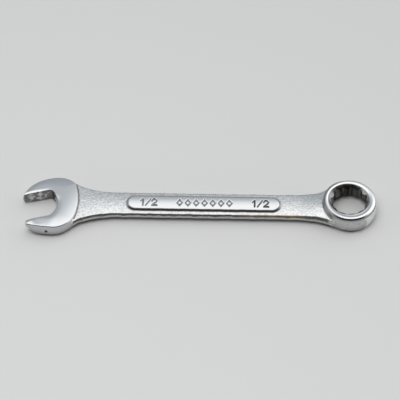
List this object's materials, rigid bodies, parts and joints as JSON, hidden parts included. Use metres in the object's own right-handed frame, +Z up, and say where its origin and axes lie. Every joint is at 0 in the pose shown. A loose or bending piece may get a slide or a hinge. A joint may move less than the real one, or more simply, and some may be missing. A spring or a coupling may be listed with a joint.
{
  "type": "combination wrench",
  "caption": "Forged chrome combination wrench with an angled open jaw at one end, a flat shank with raised panels, and a twelve-point ring at the other end.",
  "frame": {"origin": "centre of the outline seen from above, on the surface that the wrench lies on", "axes": "+X along the wrench from the open jaw to the ring, +Y across it, +Z up through its thickness"},
  "size_m": [0.141, 0.027, 0.008],
  "materials": {
    "polished_chrome": "worn polished chrome plate",
    "forged_chrome": "satin chrome plate over the fine grain of the forging"
  },
  "bodies": {
    "root": {"open_end_head": "polished_chrome", "shank": "forged_chrome", "box_end_head": "polished_chrome"}
  },
  "joints": []
}
